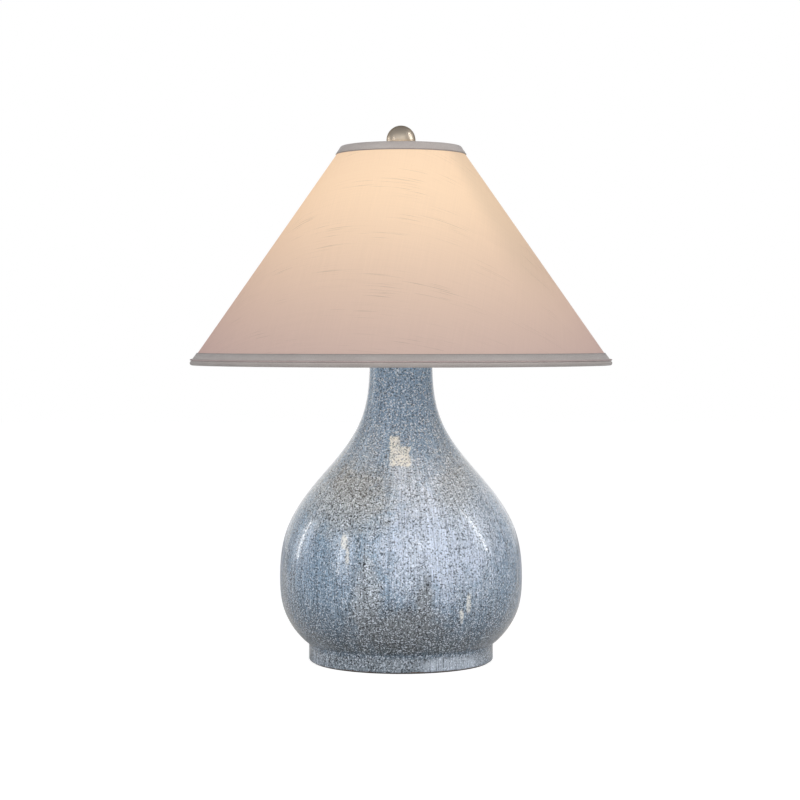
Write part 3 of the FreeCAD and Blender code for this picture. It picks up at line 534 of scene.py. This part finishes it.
mouldedLook = {        # colour, roughness, how fine its grain is and how deep
    "rubber": (shown(34, 34, 35), 0.72, 900.0, 0.00006),
    "fibre": (shown(44, 42, 40), 0.85, 500.0, 0.00008),
    "moulding": (shown(30, 30, 31), 0.45, 700.0, 0.00002),
    "knob": (shown(22, 22, 23), 0.22, 500.0, 0.00001),
    "bulbPlastic": (shown(236, 236, 230), 0.38, 700.0, 0.00001),
    "enamel": (shown(222, 218, 208), 0.35, 400.0, 0.00003),
}


def makeMoulded(name, look, kind):
    base, roughness, grainScale, depth = look[kind]
    paint = Paint(name, {})
    place = paint.place()
    fine = paint.grain(place, grainScale, 3.0, 0.6)
    wear = paint.grain(place, 60.0, 4.0, 0.7)
    worn = tuple(0.6 * part + 0.06 for part in base)
    paint.show({
        "Base Color": paint.mix(wear.between(0.4, 0.8) * 0.25, base, worn),
        "Roughness": roughness + fine * 0.12 - 0.06,
    })
    paint.bump(fine, depth, 0.7)
    return paint.material


feltLook = {"colour": shown(40, 42, 46), "fleck": shown(74, 76, 80), "fibreScale": 1400.0}


def makeFelt(look):
    paint = Paint("felt", {"Roughness": 0.97, "Sheen Weight": 0.4, "Sheen Roughness": 0.5})
    fibres = paint.grain(paint.place(), look["fibreScale"], 4.0, 0.7)
    paint.show({"Base Color": paint.mix(fibres.between(0.4, 0.7), look["colour"], look["fleck"])})
    paint.bump(fibres, 0.00015, 0.8)
    return paint.material


bulbLook = {
    "glass": shown(255, 246, 228),
    "light": shown(255, 232, 190),
    "strength": 3.2,
    "foot": shown(255, 214, 158),
}


def makeFrost(look):        # the lit globe, a little warmer towards its foot
    paint = Paint("bulbFrost", {"Roughness": 0.45, "Base Color": look["glass"]})
    place = paint.place()
    low, high = (corner.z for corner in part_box("bulb_globe"))
    height = paint.apart(place, "Z")[0].between(low, high)
    soft = paint.grain(place, 120.0) * 0.1 + 0.95
    paint.show({
        "Emission Color": paint.tinted(paint.mix(height, look["foot"], look["light"]), soft),
        "Emission Strength": look["strength"],
    })
    return paint.material


finishes = {
    "glaze": makeGlaze(glazeLook),
    "felt": makeFelt(feltLook),
    "black_rubber": makeMoulded("blackRubber", mouldedLook, "rubber"),
    "zinc_steel": makeMetal("zincSteel", metalLook, "zinc"),
    "brushed_nickel": makeMetal("brushedNickel", metalLook, "nickel"),
    "raw_brass": makeMetal("rawBrass", metalLook, "brass"),
    "fibre_board": makeMoulded("fibreBoard", mouldedLook, "fibre"),
    "black_moulding": makeMoulded("blackMoulding", mouldedLook, "moulding"),
    "black_knob": makeMoulded("blackKnob", mouldedLook, "knob"),
    "bulb_metal": makeMetal("bulbMetal", metalLook, "alloy"),
    "bulb_plastic": makeMoulded("bulbPlastic", mouldedLook, "bulbPlastic"),
    "bulb_frost": makeFrost(bulbLook),
    "shade_cloth": makeCloth(clothLook),
    "shade_lining": makeLining(liningLook),
    "ring_wire": makeMoulded("ringEnamel", mouldedLook, "enamel"),
    "trim_cloth": makeTapeCloth("trimTape", tapeLook),
    "piping_cloth": makeTapeCloth("pipingTape", pipingLook),
}
threadPitch = {"bulb": 0.00363, "pipe": 0.0254 / 27}
threadedFinishes = {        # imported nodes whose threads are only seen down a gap
    "threaded_rod": makeMetal("threadedSteel", metalLook, "zinc", threadPitch["pipe"]),
    "socket_thread": makeMetal("threadedBrass", metalLook, "brass", threadPitch["bulb"]),
}
print("finishes made:", len(finishes) + len(threadedFinishes))

for part in frame["record"]["subparts"]:
    finish = threadedFinishes.get(part["node"], finishes[part["material_slot"]])
    for held in frame["nodes"][part["node"]].material_slots:
        held.material = finish
print("packed nodes painted:", len(frame["nodes"]))


# Making pieces

def addPiece(name, mesh, slot, body, stands, sharpAngle=40):
    bmesh.ops.recalc_face_normals(mesh, faces=mesh.faces)
    for edge in mesh.edges:
        edge.smooth = edge.calc_face_angle(0) < math.radians(sharpAngle)
    for face in mesh.faces:
        face.smooth = True
    data = bpy.data.meshes.new(name)
    mesh.to_mesh(data)
    mesh.free()
    data.materials.append(finishes[slot])
    piece = bpy.data.objects.new(name, data)
    bpy.context.scene.collection.objects.link(piece)
    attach(piece, body)
    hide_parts(*stands)
    return piece


def drawn(points, closed=False):        # a line through (radius, height) points, in the XZ plane
    mesh = bmesh.new()
    corners = [mesh.verts.new((radius, 0, height)) for radius, height in points]
    following = corners[1:] + (corners[:1] if closed else [])
    for first, second in zip(corners, following):
        mesh.edges.new((first, second))
    return mesh


def spun(mesh, steps, turns=1, rise=0.0):        # turned about the lamp's axis, from the back
    bmesh.ops.rotate(mesh, verts=mesh.verts, matrix=Matrix.Rotation(math.pi / 2, 3, "Z"))
    bmesh.ops.spin(
        mesh, geom=mesh.verts[:] + mesh.edges[:], cent=(0, 0, 0), axis=(0, 0, 1),
        dvec=(0, 0, rise / steps), angle=math.tau * turns, steps=steps, use_merge=rise == 0,
    )
    bmesh.ops.remove_doubles(mesh, verts=mesh.verts, dist=2e-6)
    return mesh


def addWall(piece, thickness, offset):
    wall = piece.modifiers.new("wall", "SOLIDIFY")
    wall.thickness, wall.offset = thickness, offset


# The shade's cone, from its two packed rings: places on it are up the slant and off the cloth

shadeSizes = {
    "steps": 192,
    "wireInset": 0.0011,        # from the cloth's outside to the middle of the wire
    "wireRadius": 0.0014,
    "clothThickness": 0.0005,
    "liningThickness": 0.0005,
    "gap": 0.0001,        # between one layer and the next
    "edgeClear": 0.0015,        # how far the cloth stops short of the middle of its wires
    "edgeRow": 0.001,        # a thin row there keeps the shading even
    "pipingLower": 0.0028,        # how much nearer the edge the cord is than it is packed
    "pipingSides": 12,
    "seamWidth": 0.012,
    "seamThickness": 0.0003,
    "seamRows": 28,
    "tapeThickness": 0.0009,
    "bottomTapeHeight": 0.0155,
    "topTapeHeight": 0.0125,
    "insideTape": 0.008,
    "foldPoints": 9,
    "tapeArea": 0.97,        # as a share of its length times its width
    "apexLean": math.radians(-10),        # the cloth's yarns aren't straight at the front
    "armTurns": (30, 150, 270),        # the spider's arms, in degrees
    "slitReach": 0.0021,        # from an arm's middle to the edge of its slit
}


def ringLine(node):        # radius and height of a packed ring's centre line
    low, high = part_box(node)
    thick = (high.z - low.z) / 2
    return Vector((high.x - thick, (low.z + high.z) / 2))


bottomRing, topRing = ringLine("shade_bottom_ring"), ringLine("shade_top_ring")
slant = (topRing - bottomRing).length
upSlant = (topRing - bottomRing) / slant
offSlant = Vector((upSlant.y, -upSlant.x))


def onCone(up, off=0.0):
    return bottomRing + upSlant * up + offSlant * (off + shadeSizes["wireInset"])


coneShare = -upSlant.x        # what an azimuth shrinks by when the cone is rolled out flat
apexReach = onCone(0).x / coneShare        # from the cone's point to its lower edge


def turnOf(place, middle):        # azimuth from the front, on the same side of the back as middle
    turn, near = (math.atan2(at.x, -at.y) for at in (place, middle))
    return turn + math.tau * round((near - turn) / math.tau)


def lay(mesh, flatten):        # flatten gives the flat place of a point of a face
    layer = mesh.loops.layers.uv.new("cloth")
    for face in mesh.faces:
        middle = face.calc_center_median()
        for loop in face.loops:
            loop[layer].uv = flatten(loop.vert.co, middle)


def layFlat(mesh, lean):        # the cone rolled out flat, as the cloth was cut
    def flatten(at, middle):
        angle = turnOf(at, middle) * coneShare - lean
        reach = apexReach - (at.z - onCone(0).y) / upSlant.y
        return reach * math.sin(angle), -reach * math.cos(angle)

    lay(mesh, flatten)


def layAlong(mesh, start):        # tape: its length round the lamp, and its width from one edge
    def flatten(at, middle):
        width = (Vector((math.hypot(at.x, at.y), at.z)) - start).length
        return turnOf(at, middle) * start.x, width

    lay(mesh, flatten)


def makeCover(sizes):
    clear, row = sizes["edgeClear"], sizes["edgeRow"]
    rows = [clear, clear + row, slant - clear - row, slant - clear]
    mesh = spun(drawn([onCone(up) for up in rows]), sizes["steps"])
    layFlat(mesh, sizes["apexLean"])
    cover = addPiece("shadeCover", mesh, "shade_cloth", "shade", ["shade_cover"])
    addWall(cover, sizes["clothThickness"], -1)
    long, short = apexReach - clear, apexReach - slant + clear
    flatSize = (2 * long, long * (1 - math.cos(math.pi * coneShare)))
    area = math.pi * coneShare * (long * long - short * short)
    return flatSize


def makeSeam(sizes):        # the cloth's overlap down the back
    start, end = sizes["bottomTapeHeight"], slant - sizes["topTapeHeight"]
    off = sizes["gap"] + sizes["seamThickness"] / 2
    mesh = bmesh.new()
    bmesh.ops.create_grid(mesh, x_segments=3, y_segments=sizes["seamRows"], size=1)
    for corner in mesh.verts:        # the flat strip is bent onto the cone
        radius, height = onCone(start + (end - start) * (corner.co.y + 1) / 2, off)
        turn = corner.co.x * sizes["seamWidth"] / 2 / radius
        corner.co = (radius * math.sin(turn), radius * math.cos(turn), height)
    layFlat(mesh, sizes["apexLean"])
    seam = addPiece("shadeSeam", mesh, "shade_cloth", "shade", ["shade_seam"])
    addWall(seam, sizes["seamThickness"], 0)
    return sizes["seamWidth"], end - start


def makeTape(name, node, sizes, edge, inward, height):        # folded round the wire at one edge
    thick, gap = sizes["tapeThickness"], sizes["gap"]
    middle = sizes["wireRadius"] + gap + thick / 2
    centre = -sizes["wireInset"]
    panel = sizes["clothThickness"] + sizes["liningThickness"] + gap
    outerEnd = edge + inward * (height - middle - thick / 2)
    places = [(outerEnd, gap + thick / 2)]
    for i in range(sizes["foldPoints"]):
        angle = math.pi * i / (sizes["foldPoints"] - 1)
        up = edge - inward * middle * math.sin(angle)
        places.append((up, centre + middle * math.cos(angle)))
    places.append((edge + inward * sizes["insideTape"], -panel - gap - thick / 2))
    points = [onCone(up, off) for up, off in places]
    width = sum((b - a).length for a, b in zip(points, points[1:]))
    mesh = spun(drawn(points), sizes["steps"])
    layAlong(mesh, points[0])
    if inward < 0:
        cutSlits(mesh, sizes)
    tape = addPiece(name, mesh, "trim_cloth", "shade", [node], sharpAngle=80)
    addWall(tape, thick, 0)
    length = math.tau * onCone(edge).x
    return length, width


def cutSlits(mesh, sizes):        # where the spider's arms pass through the upper tape
    ring = onCone(slant, -sizes["wireInset"]).x
    away = []
    for face in mesh.faces:
        middle = face.calc_center_median()
        if middle.xy.length > ring:
            continue
        for turn in sizes["armTurns"]:
            arm = Vector((math.cos(math.radians(turn)), math.sin(math.radians(turn))))
            if arm.dot(middle.xy) > 0 and abs(arm.cross(middle.xy)) < sizes["slitReach"]:
                away.append(face)
    bmesh.ops.delete(mesh, geom=away, context="FACES")


def makePiping(sizes):        # a thin cord on the lower tape
    low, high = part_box("shade_bottom_piping")
    radius = (high.z - low.z) / 2
    ring = ringLine("shade_bottom_piping") + (onCone(0) - onCone(sizes["pipingLower"]))
    angles = [math.tau * i / sizes["pipingSides"] for i in range(sizes["pipingSides"])]
    points = [ring + Vector((math.cos(angle), math.sin(angle))) * radius for angle in angles]
    mesh = spun(drawn(points, closed=True), sizes["steps"])
    layAlong(mesh, ring - Vector((radius, 0)))
    addPiece("bottomPiping", mesh, "piping_cloth", "shade", ["shade_bottom_piping"])


sheetSizes = {
    "shadeCover": makeCover(shadeSizes),
    "shadeSeam": makeSeam(shadeSizes),
    "bottomTrim": makeTape(
        "bottomTrim", "shade_bottom_trim", shadeSizes, 0.0, 1, shadeSizes["bottomTapeHeight"]
    ),
    "topTrim": makeTape(
        "topTrim", "shade_top_trim", shadeSizes, slant, -1, shadeSizes["topTapeHeight"]
    ),
}
makePiping(shadeSizes)
rounded = {name: [round(x, 4) for x in size] for name, size in sheetSizes.items()}
print("shade made, sheets:", rounded)


# Felt ring under the foot, with soft edges

feltSizes = {"width": 0.008, "softness": 0.0003, "steps": 160}


def makeFeltRing(sizes):
    low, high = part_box("felt_foot_ring")
    outer = high.x
    inner = outer - sizes["width"]
    corners = [(inner, low.z), (outer, low.z), (outer, high.z), (inner, high.z)]
    mesh = spun(drawn(corners, closed=True), sizes["steps"])
    creases = [edge for edge in mesh.edges if edge.calc_face_angle(0) > 1]
    bmesh.ops.bevel(
        mesh, geom=creases, offset=sizes["softness"], affect="EDGES", segments=2,
        profile=0.5, material=-1,
    )
    ring = addPiece("feltRing", mesh, "felt", "base", ["felt_foot_ring"])


makeFeltRing(feltSizes)
print("felt made")


# The bulb's screw thread: one pitch of its wavy outline, turned and raised

bulbThread = {"pitch": threadPitch["bulb"], "depth": 0.0011, "points": 8, "steps": 48}


def threaded(radius, bottom, top, sizes):
    pitch, depth, steps = sizes["pitch"], sizes["depth"], sizes["steps"]
    turns = math.ceil((top - bottom) / pitch) + 1
    outline = []
    for i in range(sizes["points"] + 1):
        share = i / sizes["points"]
        wave = depth / 2 * math.cos(math.tau * share)
        outline.append((radius - depth / 2 + wave, bottom - pitch + pitch * share))
    mesh = spun(drawn(outline), steps * turns, turns, pitch * turns)
    for level, outward in ((bottom, -1), (top, 1)):
        cut = bmesh.ops.bisect_plane(
            mesh, geom=mesh.verts[:] + mesh.edges[:] + mesh.faces[:],
            plane_co=(0, 0, level), plane_no=(0, 0, outward), clear_outer=True,
        )
        rim = [part for part in cut["geom_cut"] if isinstance(part, bmesh.types.BMEdge)]
        bmesh.ops.contextual_create(mesh, geom=rim)
    return mesh


def makeBulbThread(sizes):
    low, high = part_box("bulb_screw_base")
    mesh = threaded(high.x, low.z, high.z, sizes)
    stands = ["bulb_screw_base"]
    addPiece("bulbScrewBase", mesh, "bulb_metal", "bulb_screw", stands, sharpAngle=60)


makeBulbThread(bulbThread)
print("thread made")


# Stage: a pale floor, seen white, that keeps the lamp's shadow

stageLook = {
    "floorSize": 14.0,
    "floorColour": (0.9, 0.9, 0.9),
    "seenWhite": 0.7,        # how far the floor is plain white to the camera
    "glowLevel": 1.3,
    "white": (1.0, 1.0, 1.0),
    "ambient": (0.46, 0.47, 0.49),
    "overhead": (0.30, 0.31, 0.33),
    "ceiling": (0.31, 0.31, 0.32),
    "ceilingStart": (0.2, 0.9),        # how far up, or aside, it starts and is full
    "sides": (0.35, 0.35, 0.36),
    "sidesStart": (0.45, 0.80),
}


def makeFloor(look):
    mesh = bmesh.new()
    bmesh.ops.create_grid(mesh, x_segments=1, y_segments=1, size=look["floorSize"] / 2)
    data = bpy.data.meshes.new("floor")
    mesh.to_mesh(data)
    mesh.free()
    floor = bpy.data.objects.new("floor", data)
    bpy.context.scene.collection.objects.link(floor)
    paint = Paint("floorPaint", {"Roughness": 1.0, "Specular IOR Level": 0.0})
    paint.show({"Base Color": look["floorColour"]})
    seen = paint.node("LightPath", output="Is Camera Ray")
    below = paint.node("NewGeometry", output="Backfacing")
    painted = Wire(paint, paint.shader.outputs[0])
    glow = paint.node("Emission", None, {"Strength": look["glowLevel"]})
    clear = paint.node("BsdfTransparent")
    white = paint.node("MixShader", None, {0: seen * look["seenWhite"], 1: painted, 2: glow})
    surface = paint.node("MixShader", None, {0: below, 1: white, 2: clear})
    paint.feed(paint.tree.nodes["Material Output"].inputs["Surface"], surface)
    data.materials.append(paint.material)


def makeWorld(look):        # white behind the lamp; its gloss has a grey ceiling and sides too
    world = bpy.data.worlds.new("studio")
    world.use_nodes = True
    bpy.context.scene.world = world
    sky = Nodes(world.node_tree)
    seen = sky.node("LightPath", output="Is Camera Ray")
    gloss = sky.node("LightPath", output="Is Glossy Ray")
    aside, up = sky.apart(sky.node("TexCoord", output="Generated"), "XZ")
    lighting = sky.mix(up, look["ambient"], look["overhead"])
    backdrop = sky.mix(up.between(*look["ceilingStart"]), look["white"], look["ceiling"])
    toSides = sky.maths("ABSOLUTE", aside).between(*look["sidesStart"])
    backdrop = sky.mix(toSides * gloss, backdrop, look["sides"])
    plain = sky.maths("ADD", seen, gloss, clamped=True)
    background = world.node_tree.nodes["Background"]
    sky.feed(background.inputs["Color"], sky.mix(plain, lighting, backdrop))


makeFloor(stageLook)
makeWorld(stageLook)

lampLights = [        # name, place, what it faces, width, height, power, seen in gloss
    ("key", (0.7, -2.6, 1.25), (0, 0, 0.3), 1.6, 1.6, 27.0, False),
    ("fill", (-0.8, -2.6, 0.75), (0, 0, 0.3), 1.6, 1.6, 15.0, False),
    ("frontWindow", (0.68, -2.17, 1.30), (0, 0, 0.3), 0.14, 0.5, 1.6, True),
    ("rightWindow", (2.1, -0.05, 1.4), (0, 0, 0.3), 0.16, 1.8, 11.0, True),
    ("leftWindow", (-2.0, -1.2, 0.8), (0, 0, 0.3), 0.16, 1.4, 5.0, True),
    ("leftBackWindow", (-2.2, 1.0, 0.7), (0, 0, 0.3), 0.16, 1.0, 6.0, True),
]


def addLight(name, place, target, width, height, power, inGloss):
    data = bpy.data.lights.new(name, "AREA")
    data.shape, data.size, data.size_y, data.energy = "RECTANGLE", width, height, power
    light = bpy.data.objects.new(name, data)
    light.location = place
    light.visible_camera, light.visible_glossy = False, inGloss
    aim = Vector(target) - Vector(place)
    light.rotation_euler = aim.to_track_quat("-Z", "Y").to_euler()
    bpy.context.scene.collection.objects.link(light)


for light in lampLights:
    addLight(*light)


# Camera: as the photograph was taken

cameraView = {
    "place": (0.0, -2.43, 0.377),
    "pictureSide": 800.0,
    "focalPixels": 2066.0,
    "horizonRow": 340.4,
    "axisColumn": 401.0,
}


def makeCamera(view):
    data = bpy.data.cameras.new("camera")
    data.lens = view["focalPixels"] * data.sensor_width / view["pictureSide"]
    data.clip_start, data.clip_end = 0.05, 50.0
    camera = bpy.data.objects.new("camera", data)
    middle = view["pictureSide"] / 2
    down = math.atan((middle - view["horizonRow"]) / view["focalPixels"])
    turn = math.atan((view["axisColumn"] - middle) / view["focalPixels"])
    camera.location = view["place"]
    camera.rotation_euler = (math.pi / 2 - down, 0.0, turn)
    bpy.context.scene.collection.objects.link(camera)
    bpy.context.scene.camera = camera


makeCamera(cameraView)
bpy.context.scene.view_settings.view_transform = "Standard"
print("camera and lights made")
